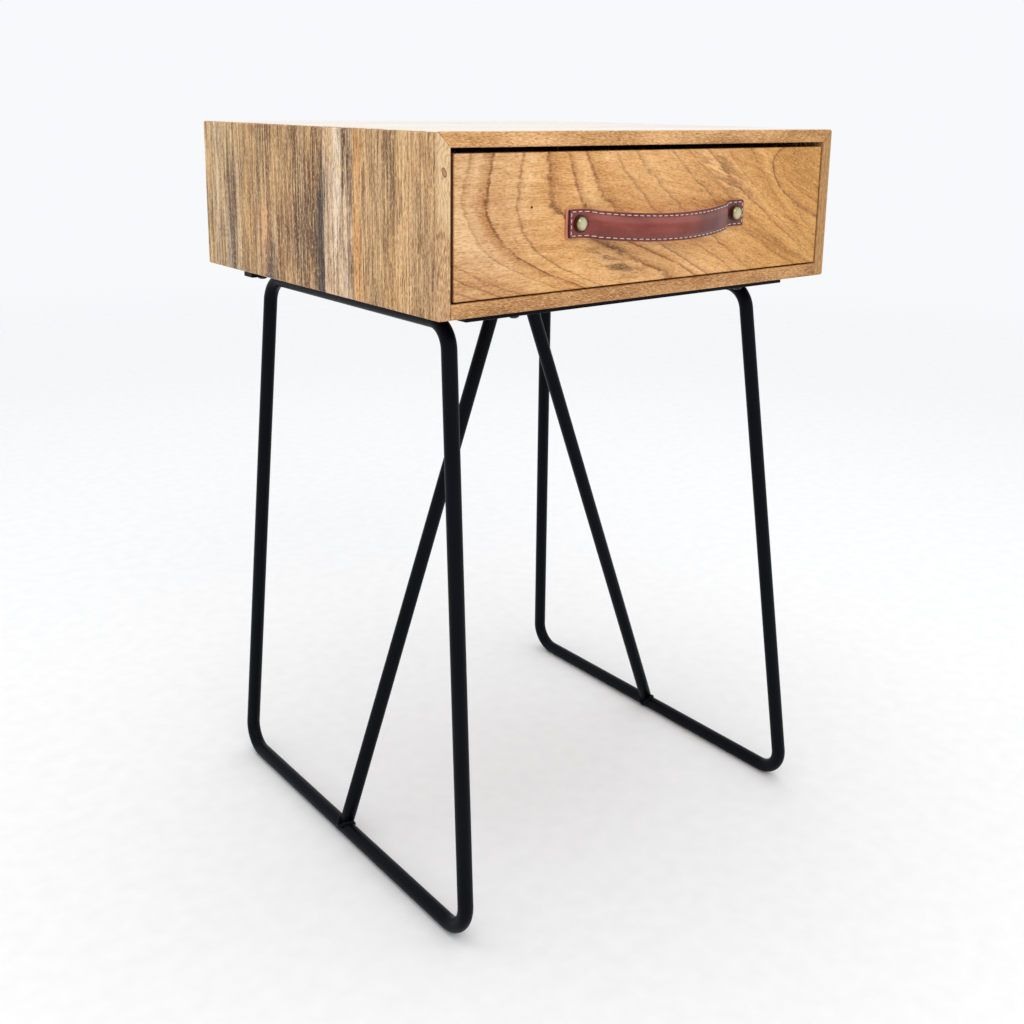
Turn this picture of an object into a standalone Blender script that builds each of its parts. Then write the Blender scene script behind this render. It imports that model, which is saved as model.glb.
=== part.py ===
"""Side table with one drawer: mitred wooden case, leather strap pull, bent steel rod base.

Metres, +Z up. X runs left to right, the drawer faces -Y, and the floor is z = 0.
The origin is the centre of the whole table's footprint, measured with the drawer shut.
"""
import math

import bmesh
import bpy
from mathutils import Matrix, Vector

# ---------------------------------------------------------------- driving dimensions
GAP = 0.0003                # between pieces that touch or rest on each other

CASE_W = 0.406              # outside, left to right
CASE_D = 0.353              # outside, front to back
CASE_H = 0.1235
CASE_Z0 = 0.477             # underside of the case
BOARD_T = 0.0105
CORNER_R = 0.0020           # rounding of the case's long corners
EDGE_R = 0.0011             # softening of the case's front and back edges
BACK_T = 0.009
BACK_INSET = 0.003

FRONT_T = 0.016             # drawer front
FRONT_RECESS = 0.0008
FRONT_GAP_LEFT = 0.0030
FRONT_GAP_RIGHT = 0.0015
FRONT_GAP_TOP = 0.0038
FRONT_GAP_BOTTOM = 0.0012
DRAWER_T = 0.010            # drawer sides and back
DRAWER_H = 0.080
DRAWER_CLEAR = 0.0010       # each side, between drawer and case
FLOOR_T = 0.004             # drawer bottom panel
FLOOR_LIFT = 0.008
GROOVE = 0.005

STRAP_LEN = 0.187           # leather pull, end to end
STRAP_H = 0.0210
STRAP_Z = 0.5360
STRAP_T = 0.0018            # outer leather
BACKING_T = 0.0012          # lining leather
BOW_SPAN = 0.0810           # half the length that stands off the drawer
BOW_REACH = 0.0180
BOW_SAG = 0.0049
BOW_EASE = 0.16             # share of each half over which the bow turns out of its tab
STUD_X = 0.0820
STUD_R = 0.0052

ROD_R = 0.006               # base rod
BEND_R = 0.022
FLAT_T = 0.006              # flat bars under the case
FLAT_W = 0.015
FLOOR_X = 0.183             # rod centre lines at the floor
FLOOR_FRONT = -0.1847       # measured from the case's centre
FLOOR_REAR = 0.1689
TOP_X = 0.1597              # rod centre lines at the top
TOP_FRONT = -0.1276
TOP_REAR = 0.1433
BRACE_TOP_X = 0.0107
FRONT_BAR_HALF = 0.168
FRONT_BAR_Y = -0.1525
REAR_BAR_HALF = 0.1945
REAR_BAR_Y = 0.1180
CENTRE_BAR_W = 0.020

SCREW_R = 0.0020
SCREW_HEAD_R = 0.0042
SCREW_HEAD_H = 0.0024
SCREW_BITE = 0.0075         # how far a base screw reaches into the case's bottom board

# The strap's bow is the foremost point, so the case sits this far behind the origin.
STRAP_REACH = GAP + BACKING_T + GAP + STRAP_T + BOW_REACH
CASE_Y = (STRAP_REACH - FRONT_RECESS) / 2

CASE_FRONT = CASE_Y - CASE_D / 2
CASE_BACK = CASE_Y + CASE_D / 2
CASE_Z1 = CASE_Z0 + CASE_H
INNER_X = CASE_W / 2 - BOARD_T
INNER_Z0 = CASE_Z0 + BOARD_T
INNER_Z1 = CASE_Z1 - BOARD_T
FLAT_Z1 = CASE_Z0 - GAP
FLAT_Z0 = FLAT_Z1 - FLAT_T
ROD_TOP_Z = FLAT_Z0 - GAP - ROD_R

# ---------------------------------------------------------------- clean start
for old in list(bpy.data.objects):
    bpy.data.objects.remove(old, do_unlink=True)

parts = bpy.data.collections.new("side_table_with_drawer")
cutters = bpy.data.collections.new("cutters")
bpy.context.scene.collection.children.link(parts)
bpy.context.scene.collection.children.link(cutters)


# ---------------------------------------------------------------- materials
def material(name, color, roughness, metallic=0.0):
    mat = bpy.data.materials.new(name)
    mat.use_nodes = True
    shader = mat.node_tree.nodes["Principled BSDF"]
    shader.inputs["Base Color"].default_value = (*color, 1.0)
    shader.inputs["Roughness"].default_value = roughness
    shader.inputs["Metallic"].default_value = metallic
    mat.diffuse_color = (*color, 1.0)
    return mat


WOOD_SIDE = (0.36, 0.22, 0.11)
WOOD_TOP = (0.62, 0.48, 0.32)
WOOD_FRONT = (0.60, 0.33, 0.13)
WOOD_PLAIN = (0.55, 0.38, 0.22)
LEATHER = (0.20, 0.045, 0.035)
LINING = (0.32, 0.12, 0.08)
BRASS = (0.36, 0.29, 0.17)
BLACK = (0.012, 0.013, 0.016)
STEEL = (0.45, 0.45, 0.46)


# ---------------------------------------------------------------- building helpers
def add(name, mesh, color, roughness, metallic=0.0):
    """A finished part with a material slot of its own name."""
    obj = bpy.data.objects.new(name, mesh)
    parts.objects.link(obj)
    obj.data.materials.clear()
    obj.data.materials.append(material(name, color, roughness, metallic))
    return obj


def to_cutter(obj):
    for home in list(obj.users_collection):
        home.objects.unlink(obj)
    cutters.objects.link(obj)
    obj.hide_render = True
    obj.display_type = "WIRE"
    return obj


def box_mesh(name, size):
    mesh = bpy.data.meshes.new(name)
    bm = bmesh.new()
    bmesh.ops.create_cube(bm, size=1.0)
    bmesh.ops.scale(bm, vec=size, verts=bm.verts)
    bm.to_mesh(mesh)
    bm.free()
    return mesh


def cylinder_mesh(name, radius, length, segments=32):
    mesh = bpy.data.meshes.new(name)
    bm = bmesh.new()
    bmesh.ops.create_cone(bm, cap_ends=True, segments=segments, radius1=radius,
                          radius2=radius, depth=length)
    bm.to_mesh(mesh)
    bm.free()
    return mesh


def box(name, low, high, color, roughness, edge=0.0006, metallic=0.0):
    """A board or bar between two opposite corners, with softened edges."""
    low, high = Vector(low), Vector(high)
    obj = add(name, box_mesh(name, high - low), color, roughness, metallic)
    obj.location = (low + high) / 2
    bevel(obj, edge)
    return obj


def bevel(obj, width, segments=2, weighted=False):
    mod = obj.modifiers.new("soft_edges", "BEVEL")
    mod.width = width
    mod.segments = segments
    mod.limit_method = "WEIGHT" if weighted else "ANGLE"
    mod.angle_limit = math.radians(40)
    mod.use_clamp_overlap = True
    return mod


def cut(obj, cutter):
    mod = obj.modifiers.new("cut", "BOOLEAN")
    mod.operation = "DIFFERENCE"
    mod.solver = "EXACT"
    mod.object = to_cutter(cutter)
    return mod


def box_cutter(name, low, high):
    low, high = Vector(low), Vector(high)
    obj = bpy.data.objects.new(name, box_mesh(name, high - low))
    obj.location = (low + high) / 2
    return obj


def round_cutter(name, radius, start, end, segments=32):
    start, end = Vector(start), Vector(end)
    along = end - start
    obj = bpy.data.objects.new(name, cylinder_mesh(name, radius, along.length, segments))
    obj.location = (start + end) / 2
    obj.rotation_euler = along.to_track_quat("Z", "Y").to_euler()
    return obj


def outline_mesh(name, points, depth):
    """A flat outline in the X-Y plane, filled and extruded to the given depth along Z."""
    curve = bpy.data.curves.new(name, "CURVE")
    curve.dimensions = "2D"
    curve.fill_mode = "BOTH"
    curve.extrude = depth / 2
    spline = curve.splines.new("POLY")
    spline.points.add(len(points) - 1)
    for point, (x, y) in zip(spline.points, points):
        point.co = (x, y, 0.0, 1.0)
    spline.use_cyclic_u = True
    return curve_to_mesh(name, curve)


def curve_to_mesh(name, curve):
    holder = bpy.data.objects.new(name + "_curve", curve)
    parts.objects.link(holder)
    bpy.context.view_layer.update()
    mesh = bpy.data.meshes.new_from_object(holder)
    bpy.data.objects.remove(holder, do_unlink=True)
    mesh.name = name
    bm = bmesh.new()
    bm.from_mesh(mesh)
    bmesh.ops.remove_doubles(bm, verts=bm.verts, dist=0.00001)
    bmesh.ops.recalc_face_normals(bm, faces=bm.faces)
    bm.to_mesh(mesh)
    bm.free()
    return mesh


def turned(name, profile, color, roughness, metallic, steps=48):
    """A turned piece: a profile of (radius, height) points screwed round its own Z axis."""
    mesh = bpy.data.meshes.new(name)
    mesh.from_pydata([(r, 0.0, z) for r, z in profile],
                     [(i, i + 1) for i in range(len(profile) - 1)], [])
    obj = add(name, mesh, color, roughness, metallic)
    mod = obj.modifiers.new("turn", "SCREW")
    mod.axis = "Z"
    mod.steps = steps
    mod.render_steps = steps
    mod.use_merge_vertices = True
    mod.merge_threshold = 0.00001
    mod.use_normal_calculate = True
    return obj


def arc(cx, cy, radius, start, end, steps):
    span = [start + (end - start) * i / steps for i in range(steps + 1)]
    return [(cx + radius * math.cos(math.radians(a)), cy + radius * math.sin(math.radians(a)))
            for a in span]


# ---------------------------------------------------------------- case
def case_board(name, outline, centre, color):
    """A case board: its end outline (x, z) run from the case's front to its back."""
    mesh = outline_mesh(name, outline, CASE_D)
    mesh.transform(Matrix.Rotation(math.radians(90), 4, "X"))
    bm = bmesh.new()
    bm.from_mesh(mesh)
    bmesh.ops.dissolve_limit(bm, angle_limit=math.radians(0.5), verts=bm.verts, edges=bm.edges)
    weights = bm.edges.layers.float.new("bevel_weight_edge")
    for edge in bm.edges:
        a, b = (v.co for v in edge.verts)
        on_end = abs(abs(a.y) - CASE_D / 2) < 1e-5 and abs(a.y - b.y) < 1e-5
        mitred = abs(abs(a.x - b.x) - abs(a.z - b.z)) < 1e-5 and (a - b).length > BOARD_T
        if on_end and not mitred:
            edge[weights] = 1.0
    bm.to_mesh(mesh)
    bm.free()
    obj = add(name, mesh, color, 0.5)
    obj.location = centre
    bevel(obj, EDGE_R, segments=3, weighted=True)
    return obj


half_w = CASE_W / 2
seam = GAP / 2 * math.sqrt(2)       # how far each mitre face stands back along the board

top_outline = [(-(INNER_X - seam), -BOARD_T / 2), (INNER_X - seam, -BOARD_T / 2)]
top_outline += [(x - seam, z) for x, z in
                arc(half_w - CORNER_R, BOARD_T / 2 - CORNER_R, CORNER_R, 45, 90, 4)]
top_outline += [(x + seam, z) for x, z in
                arc(-half_w + CORNER_R, BOARD_T / 2 - CORNER_R, CORNER_R, 90, 135, 4)]
case_board("case_top", top_outline, (0.0, CASE_Y, CASE_Z1 - BOARD_T / 2), WOOD_TOP)

# The left side's outline, measured from the board's bottom inner corner, going outwards.
side_outline = [(0.0, 0.0)]
side_outline += arc(-BOARD_T + CORNER_R, CORNER_R, CORNER_R, 270, 180, 4)
side_outline += [(x, z - seam) for x, z in
                 arc(-BOARD_T + CORNER_R, CASE_H - CORNER_R, CORNER_R, 180, 135, 4)]
side_outline += [(0.0, CASE_H - BOARD_T - seam)]
case_board("case_left_side", side_outline, (-INNER_X, CASE_Y, CASE_Z0), WOOD_SIDE)
case_board("case_right_side", [(-x, z) for x, z in reversed(side_outline)],
           (INNER_X, CASE_Y, CASE_Z0), WOOD_SIDE)

bottom = case_board("case_bottom",
                    [(-(INNER_X - GAP), -BOARD_T / 2), (INNER_X - GAP, -BOARD_T / 2),
                     (INNER_X - GAP, BOARD_T / 2), (-(INNER_X - GAP), BOARD_T / 2)],
                    (0.0, CASE_Y, CASE_Z0 + BOARD_T / 2), WOOD_FRONT)

BACK_Y1 = CASE_BACK - BACK_INSET
BACK_Y0 = BACK_Y1 - BACK_T
box("case_back", (-(INNER_X - GAP), BACK_Y0, INNER_Z0 + GAP),
    (INNER_X - GAP, BACK_Y1, INNER_Z1 - GAP), WOOD_PLAIN, 0.6)

# ---------------------------------------------------------------- drawer
FRONT_Y0 = CASE_FRONT + FRONT_RECESS
FRONT_Y1 = FRONT_Y0 + FRONT_T
FRONT_Z0 = INNER_Z0 + FRONT_GAP_BOTTOM
FRONT_Z1 = INNER_Z1 - FRONT_GAP_TOP
BOX_Z0 = INNER_Z0 + GAP
BOX_Y0 = FRONT_Y1 + GAP
BOX_Y1 = BACK_Y0 - GAP              # the closed drawer stops against the case's back
BOX_X = INNER_X - DRAWER_CLEAR
PANEL_Z0 = BOX_Z0 + FLOOR_LIFT
PANEL_Z1 = PANEL_Z0 + FLOOR_T
PANEL_X = BOX_X - DRAWER_T + GROOVE - GAP
PANEL_Y0 = FRONT_Y1 - GROOVE + GAP
PANEL_Y1 = BOX_Y1 - DRAWER_T + GROOVE - GAP


def groove(name):
    """The slot the drawer bottom sits in, with running clearance all round."""
    return box_cutter(name, (-PANEL_X - GAP, PANEL_Y0 - GAP, PANEL_Z0 - GAP),
                      (PANEL_X + GAP, PANEL_Y1 + GAP, PANEL_Z1 + GAP))


drawer_front = box("drawer_front", (-INNER_X + FRONT_GAP_LEFT, FRONT_Y0, FRONT_Z0),
                   (INNER_X - FRONT_GAP_RIGHT, FRONT_Y1, FRONT_Z1), WOOD_FRONT, 0.45, 0.0010)
drawer_left = box("drawer_left_side", (-BOX_X, BOX_Y0, BOX_Z0),
                  (-BOX_X + DRAWER_T, BOX_Y1, BOX_Z0 + DRAWER_H), WOOD_PLAIN, 0.6)
drawer_right = box("drawer_right_side", (BOX_X - DRAWER_T, BOX_Y0, BOX_Z0),
                   (BOX_X, BOX_Y1, BOX_Z0 + DRAWER_H), WOOD_PLAIN, 0.6)
drawer_back = box("drawer_back", (-BOX_X + DRAWER_T + GAP, BOX_Y1 - DRAWER_T, BOX_Z0),
                  (BOX_X - DRAWER_T - GAP, BOX_Y1, BOX_Z0 + DRAWER_H), WOOD_PLAIN, 0.6)
box("drawer_bottom", (-PANEL_X, PANEL_Y0, PANEL_Z0), (PANEL_X, PANEL_Y1, PANEL_Z1),
    WOOD_PLAIN, 0.6, 0.0004)
for board in (drawer_front, drawer_left, drawer_right, drawer_back):
    cut(board, groove("groove_" + board.name))


# ---------------------------------------------------------------- leather pull
def bow(x):
    """How far the strap stands off the drawer at x, from 0 on the tabs to 1 in the middle."""
    t = min(abs(x) / BOW_SPAN, 1.0)
    ease = min((1 - t) / BOW_EASE, 1.0)
    return (1 - t * t) * ease * ease * (3 - 2 * ease)


def strap_layer(name, inside, outside, half_length, half_height, color, roughness):
    """A leather band between two offsets from the drawer front, bowed out and sagging."""
    steps = 72
    xs = [BOW_SPAN * (2 * i / steps - 1) for i in range(steps + 1)]
    xs = [-half_length] + xs + [half_length]

    def edge(offset):
        line = []
        for x in xs:
            slope = (bow(x + 1e-5) - bow(x - 1e-5)) / 2e-5 * BOW_REACH
            across = Vector((slope, -1.0)).normalized()
            line.append((x - across.x * -offset, -BOW_REACH * bow(x) + across.y * offset))
        return line

    outline = edge(inside) + list(reversed(edge(outside)))
    mesh = outline_mesh(name, outline, 2 * half_height)
    for vert in mesh.vertices:
        vert.co.z -= BOW_SAG * bow(vert.co.x)
    obj = add(name, mesh, color, roughness)
    obj.location = (0.0, FRONT_Y0, STRAP_Z)
    bevel(obj, 0.0004)
    return obj


lining = strap_layer("handle_backing", GAP, GAP + BACKING_T, STRAP_LEN / 2, STRAP_H / 2,
                     LINING, 0.7)
leather = strap_layer("handle_strap", GAP * 2 + BACKING_T, GAP * 2 + BACKING_T + STRAP_T,
                      STRAP_LEN / 2 - 0.0015, STRAP_H / 2 - 0.0003, LEATHER, 0.42)

STUD_LIFT = 0.0004          # keeps the head clear of the strap where it starts to rise
STUD_SEAT = 3 * GAP + BACKING_T + STRAP_T + STUD_LIFT    # drawer face to the head's underside
BARREL_R = 0.0025
BARREL_LEN = STUD_SEAT + 0.011
THREAD_R = 0.0013
HEAD_H = 0.0032
dome_r = (STUD_R ** 2 + (HEAD_H - 0.0006) ** 2) / (2 * (HEAD_H - 0.0006))
dome_rise = math.degrees(math.asin(STUD_R / dome_r))
stud_profile = arc(0.0, HEAD_H - dome_r, dome_r, 90, 90 - dome_rise, 8)
stud_profile[0] = (0.0, HEAD_H)
stud_profile += [(STUD_R, 0.0002), (STUD_R - 0.0002, 0.0), (BARREL_R, 0.0),
                 (BARREL_R, -BARREL_LEN), (THREAD_R + GAP, -BARREL_LEN),
                 (THREAD_R + GAP, -BARREL_LEN + 0.0095), (0.0, -BARREL_LEN + 0.0095)]


def screw_profile(shank_r, length, tip=0.0):
    """Pan head with its underside at height 0 and its shank going down."""
    return [(0.0, SCREW_HEAD_H), (SCREW_HEAD_R * 0.55, SCREW_HEAD_H * 0.94),
            (SCREW_HEAD_R * 0.9, SCREW_HEAD_H * 0.6), (SCREW_HEAD_R, SCREW_HEAD_H * 0.2),
            (SCREW_HEAD_R, 0.0), (shank_r, 0.0), (shank_r, -length + tip), (0.0, -length)]


def recess(name, at, turn):
    """Cross recess in a screw head: two crossed slots."""
    for i in range(2):
        size = Vector((0.0042, 0.0009, 0.0024))
        slot = bpy.data.objects.new(name + "_" + str(i), box_mesh(name, size))
        slot.matrix_world = Matrix.Translation(at) @ turn @ Matrix.Rotation(
            math.radians(90 * i + 20), 4, "Z")
        yield slot


def screw(name, at, turn, shank_r, length, tip, color, roughness, metallic):
    obj = turned(name, screw_profile(shank_r, length, tip), color, roughness, metallic, 32)
    obj.matrix_world = Matrix.Translation(at) @ turn
    top = Vector(at) + turn.to_3x3() @ Vector((0.0, 0.0, SCREW_HEAD_H))
    for slot in recess(name + "_slot", top, turn):
        cut(obj, slot)
    return obj


TO_FRONT = Matrix.Rotation(math.radians(90), 4, "X")
TO_BACK = Matrix.Rotation(math.radians(-90), 4, "X")
DOWN = Matrix.Rotation(math.radians(180), 4, "X")
for side, x in (("left", -STUD_X), ("right", STUD_X)):
    stud = turned("handle_stud_" + side, stud_profile, BRASS, 0.35, 1.0)
    stud.matrix_world = Matrix.Translation((x, FRONT_Y0 - STUD_SEAT, STRAP_Z)) @ TO_FRONT
    screw("handle_screw_" + side, (x, FRONT_Y1 + GAP, STRAP_Z), TO_BACK, THREAD_R,
          0.0128, 0.0, STEEL, 0.35, 1.0)
    for holed in (leather, lining, drawer_front):
        bore = round_cutter("stud_hole_" + side + "_" + holed.name, BARREL_R + GAP,
                            (x, FRONT_Y0 - 0.02, STRAP_Z), (x, FRONT_Y1 + 0.02, STRAP_Z))
        cut(holed, bore)


# ---------------------------------------------------------------- base
def bent_loop(name, corners, color=BLACK):
    """A closed loop of round rod through the corners, each corner bent to BEND_R."""
    path = []
    count = len(corners)
    for i in range(count):
        here = corners[i]
        to_last = (corners[i - 1] - here).normalized()
        to_next = (corners[(i + 1) % count] - here).normalized()
        half = to_last.angle(to_next) / 2
        centre = here + (to_last + to_next).normalized() * (BEND_R / math.sin(half))
        begin = here + to_last * (BEND_R / math.tan(half)) - centre
        finish = here + to_next * (BEND_R / math.tan(half)) - centre
        sweep = begin.angle(finish)
        for k in range(11):
            t = k / 10
            arm = (begin * math.sin((1 - t) * sweep) + finish * math.sin(t * sweep))
            path.append(centre + arm / math.sin(sweep))
    curve = bpy.data.curves.new(name, "CURVE")
    curve.dimensions = "3D"
    curve.bevel_depth = ROD_R
    curve.bevel_resolution = 6
    spline = curve.splines.new("POLY")
    spline.points.add(len(path) - 1)
    for point, co in zip(spline.points, path):
        point.co = (*co, 1.0)
    spline.use_cyclic_u = True
    return add(name, curve_to_mesh(name, curve), color, 0.45)


def flat_bar(name, x0, x1, y0, y1):
    return box(name, (x0, CASE_Y + y0, FLAT_Z0), (x1, CASE_Y + y1, FLAT_Z1), BLACK, 0.45, 0.0005)


front_bar = flat_bar("front_crossbar", -FRONT_BAR_HALF, FRONT_BAR_HALF,
                     FRONT_BAR_Y - FLAT_W / 2, FRONT_BAR_Y + FLAT_W / 2)
rear_bar = flat_bar("rear_crossbar", -REAR_BAR_HALF, REAR_BAR_HALF,
                    REAR_BAR_Y - FLAT_W / 2, REAR_BAR_Y + FLAT_W / 2)
inner_flat_x = TOP_X - FLAT_W / 2
centre_bar = flat_bar("centre_crossbar", -inner_flat_x + GAP, inner_flat_x - GAP,
                      -CENTRE_BAR_W / 2, CENTRE_BAR_W / 2)

runner_middle = CASE_Y + (FLOOR_FRONT + FLOOR_REAR) / 2
for side, sign in (("left", -1), ("right", 1)):
    corners = [Vector((sign * TOP_X, CASE_Y + TOP_FRONT, ROD_TOP_Z)),
               Vector((sign * FLOOR_X, CASE_Y + FLOOR_FRONT, ROD_R)),
               Vector((sign * FLOOR_X, CASE_Y + FLOOR_REAR, ROD_R)),
               Vector((sign * TOP_X, CASE_Y + TOP_REAR, ROD_TOP_Z))]
    bent_loop(side + "_leg_loop", corners)
    edge_in, edge_out = sorted((sign * (TOP_X - FLAT_W / 2), sign * (TOP_X + FLAT_W / 2)))
    flat_bar(side + "_side_bar", edge_in, edge_out, FRONT_BAR_Y + FLAT_W / 2 + GAP,
             REAR_BAR_Y - FLAT_W / 2 - GAP)

    # Brace: from the middle of the runner up to the centre crossbar, coped at its foot.
    foot = Vector((sign * FLOOR_X, runner_middle, ROD_R))
    head = Vector((sign * BRACE_TOP_X, CASE_Y, FLAT_Z0 - GAP))
    reach = (head - foot).normalized() * 0.012
    along = head + reach - foot
    brace = add(side + "_brace", cylinder_mesh(side + "_brace", ROD_R, along.length, 28),
                BLACK, 0.45)
    brace.location = foot + along / 2
    brace.rotation_euler = along.to_track_quat("Z", "Y").to_euler()
    cut(brace, box_cutter(side + "_brace_trim",
                          (head.x - 0.04, head.y - 0.04, head.z),
                          (head.x + 0.04, head.y + 0.04, head.z + 0.06)))
    cut(brace, round_cutter(side + "_brace_cope", ROD_R + GAP,
                            (foot.x, foot.y - 0.05, foot.z), (foot.x, foot.y + 0.05, foot.z), 48))

# Wood screws through the crossbars into the case's bottom board.
SCREW_PLACES = [("front_left", front_bar, -0.120, FRONT_BAR_Y),
                ("front_right", front_bar, 0.120, FRONT_BAR_Y),
                ("rear_left", rear_bar, -0.181, REAR_BAR_Y),
                ("rear_right", rear_bar, 0.181, REAR_BAR_Y)]
for where, bar, x, y in SCREW_PLACES:
    seat = Vector((x, CASE_Y + y, FLAT_Z0 - GAP))
    tip_z = CASE_Z0 + SCREW_BITE
    screw("base_screw_" + where, seat, DOWN, SCREW_R, tip_z - seat.z, 0.0025, BLACK, 0.4, 0.6)
    for holed in (bar, bottom):
        hole = round_cutter("screw_hole_" + where + "_" + holed.name, SCREW_R + GAP,
                            (seat.x, seat.y, seat.z - 0.004), (seat.x, seat.y, tip_z + GAP), 24)
        cut(holed, hole)

bpy.context.view_layer.update()
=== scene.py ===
"""Looks of the side table with drawer: solid wood, stitched leather pull, powder-coated rod base.

Metres, +Z up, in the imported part's own frame: the drawer faces -Y and the floor is z = 0.
"""

import math
import random

import bpy
import numpy as np
from mathutils import Matrix, Vector


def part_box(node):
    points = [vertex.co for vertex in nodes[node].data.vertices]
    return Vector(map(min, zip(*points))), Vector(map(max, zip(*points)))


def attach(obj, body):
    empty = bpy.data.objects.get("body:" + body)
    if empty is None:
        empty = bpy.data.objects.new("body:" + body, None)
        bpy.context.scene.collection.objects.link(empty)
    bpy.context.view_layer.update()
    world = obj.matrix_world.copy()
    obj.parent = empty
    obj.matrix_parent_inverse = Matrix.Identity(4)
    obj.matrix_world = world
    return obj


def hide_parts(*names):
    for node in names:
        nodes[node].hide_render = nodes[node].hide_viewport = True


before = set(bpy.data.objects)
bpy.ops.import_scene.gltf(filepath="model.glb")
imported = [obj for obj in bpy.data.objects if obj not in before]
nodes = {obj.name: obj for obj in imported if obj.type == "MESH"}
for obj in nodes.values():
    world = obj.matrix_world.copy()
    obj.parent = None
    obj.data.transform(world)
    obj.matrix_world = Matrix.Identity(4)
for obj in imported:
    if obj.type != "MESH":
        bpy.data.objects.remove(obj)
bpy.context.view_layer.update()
random.seed(11)
MM = 0.001

# ---- places taken from the frame
case_low, case_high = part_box("case_top")
CASE_FRONT, CASE_BACK, CASE_TOP = case_low.y, case_high.y, case_high.z
CASE_LEFT, CASE_RIGHT = case_low.x, case_high.x
CASE_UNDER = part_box("case_bottom")[0].z
front_low, front_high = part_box("drawer_front")
lining_low, lining_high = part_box("handle_backing")
leather_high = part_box("handle_strap")[1]


# ---- fields: materials as formulas
def srgb(red, green, blue):
    """The linear colour of a display colour given as three numbers from 0 to 255."""
    def linear(value):
        value /= 255
        return value / 12.92 if value <= 0.04045 else ((value + 0.055) / 1.055) ** 2.4
    return tuple(linear(v) for v in (red, green, blue))


def plug(tree, target, value):
    """Feeds a node's input with a field, a display colour or a number."""
    if isinstance(value, Field):
        tree.links.new(value.socket, target)
    elif isinstance(value, tuple):
        target.default_value = (*srgb(*value), 1.0)
    else:
        target.default_value = value


def maths(operation):
    """A method that gives a field, with another value if there is one, to a Math node."""
    return lambda self, *others: self.calc(operation, *others)


class Field:
    """A value at each point of a surface, so that a node tree can be written as a formula."""

    def __init__(self, tree, socket):
        self.tree, self.socket = tree, socket

    def calc(self, operation, *others):
        node = self.tree.nodes.new("ShaderNodeMath")
        node.operation = operation
        for target, value in zip(node.inputs, (self, *others)):
            plug(self.tree, target, value)
        return Field(self.tree, node.outputs[0])

    __add__ = __radd__ = maths("ADD")
    __mul__ = __rmul__ = maths("MULTIPLY")
    __sub__ = maths("SUBTRACT")
    __truediv__ = maths("DIVIDE")
    power = maths("POWER")
    size = maths("ABSOLUTE")
    sine = maths("SINE")
    most = maths("MAXIMUM")
    least = maths("MINIMUM")
    past = maths("GREATER_THAN")

    def __rsub__(self, other):
        return self * -1.0 + other

    def rise(self, start, end):
        """0 before start, 1 after end, smooth between; start may be the larger."""
        node = self.tree.nodes.new("ShaderNodeMapRange")
        node.interpolation_type = "SMOOTHSTEP"
        plug(self.tree, node.inputs["Value"], self)
        span = {"From Min": min(start, end), "From Max": max(start, end),
                "To Min": float(start > end), "To Max": float(start < end)}
        for name, number in span.items():
            node.inputs[name].default_value = number
        return Field(self.tree, node.outputs["Result"])

    def band(self, centre, half_width, soft):
        """1 within half_width of centre, falling smoothly to 0 over soft."""
        return (self - centre).size().rise(half_width + soft, half_width)

    def ramp(self, *stops):
        """A colour for each value: stops are (place, display colour)."""
        node = self.tree.nodes.new("ShaderNodeValToRGB")
        elements = node.color_ramp.elements
        while len(elements) < len(stops):
            elements.new(0.5)
        for element, (place, color) in zip(elements, stops):
            element.position = place
            element.color = (*srgb(*color), 1.0)
        plug(self.tree, node.inputs[0], self)
        return Field(self.tree, node.outputs["Color"])


def blend(factor, first, second):
    """Colour first where factor is 0 and second where it is 1."""
    tree = factor.tree
    node = tree.nodes.new("ShaderNodeMix")
    node.data_type = "RGBA"
    node.clamp_factor = True
    inputs = [s for s in node.inputs if s.type == "RGBA"]
    plug(tree, node.inputs[0], factor)
    plug(tree, inputs[0], first)
    plug(tree, inputs[1], second)
    return Field(tree, [s for s in node.outputs if s.type == "RGBA"][0])


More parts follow.
